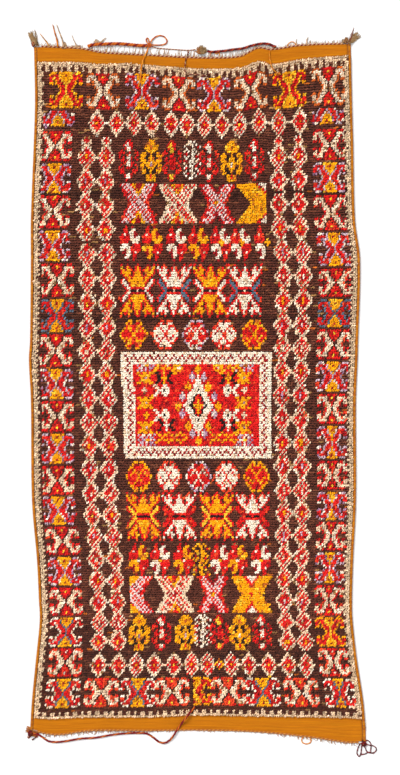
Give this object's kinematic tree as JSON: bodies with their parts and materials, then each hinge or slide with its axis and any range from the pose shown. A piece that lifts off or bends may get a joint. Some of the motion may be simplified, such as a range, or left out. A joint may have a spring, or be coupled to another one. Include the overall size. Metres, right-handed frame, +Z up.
{
  "type": "knotted wool pile rug",
  "caption": "Hand-knotted wool pile rug lying flat, with flat-woven ends, overcast side cords, cut warp fringe, corner tassels and loose twisted end cords.",
  "frame": {"origin": "middle of the rug's flat underside, on the floor", "axes": "+Y along the length to the end with the bow, +X across, +Z up through the pile"},
  "size_m": [1.2638, 2.6375, 0.0224],
  "materials": {
    "pile_wool": "cut wool pile in dark brown, red, orange, cream and lilac, matt",
    "side_wool": "orange overcast wool, matt",
    "warp_wool": "undyed tan warp yarn, matt",
    "twisted_yarn": "two-colour twisted wool cord, orange and dark red, matt",
    "dark_yarn": "dark red wool yarn, matt",
    "orange_yarn": "orange wool yarn, matt"
  },
  "bodies": {
    "root": {"rug_body": "pile_wool", "selvedge_left": "side_wool", "selvedge_right": "side_wool", "fringe_top": "warp_wool", "fringe_bottom": "warp_wool", "tassel_top_left": "warp_wool", "tassel_top_right": "warp_wool", "bow_knot": "orange_yarn", "tuft_knot": "warp_wool", "knot_bottom_left": "dark_yarn", "knot_bottom_right": "dark_yarn", "edge_cord_left": "twisted_yarn", "edge_cord_middle": "dark_yarn", "edge_cord_right": "dark_yarn", "bow_loop": "orange_yarn", "bow_tail": "orange_yarn", "dark_tail": "dark_yarn", "orange_tail": "orange_yarn", "hem_cord": "twisted_yarn", "yarn_loop": "orange_yarn"}
  },
  "joints": []
}
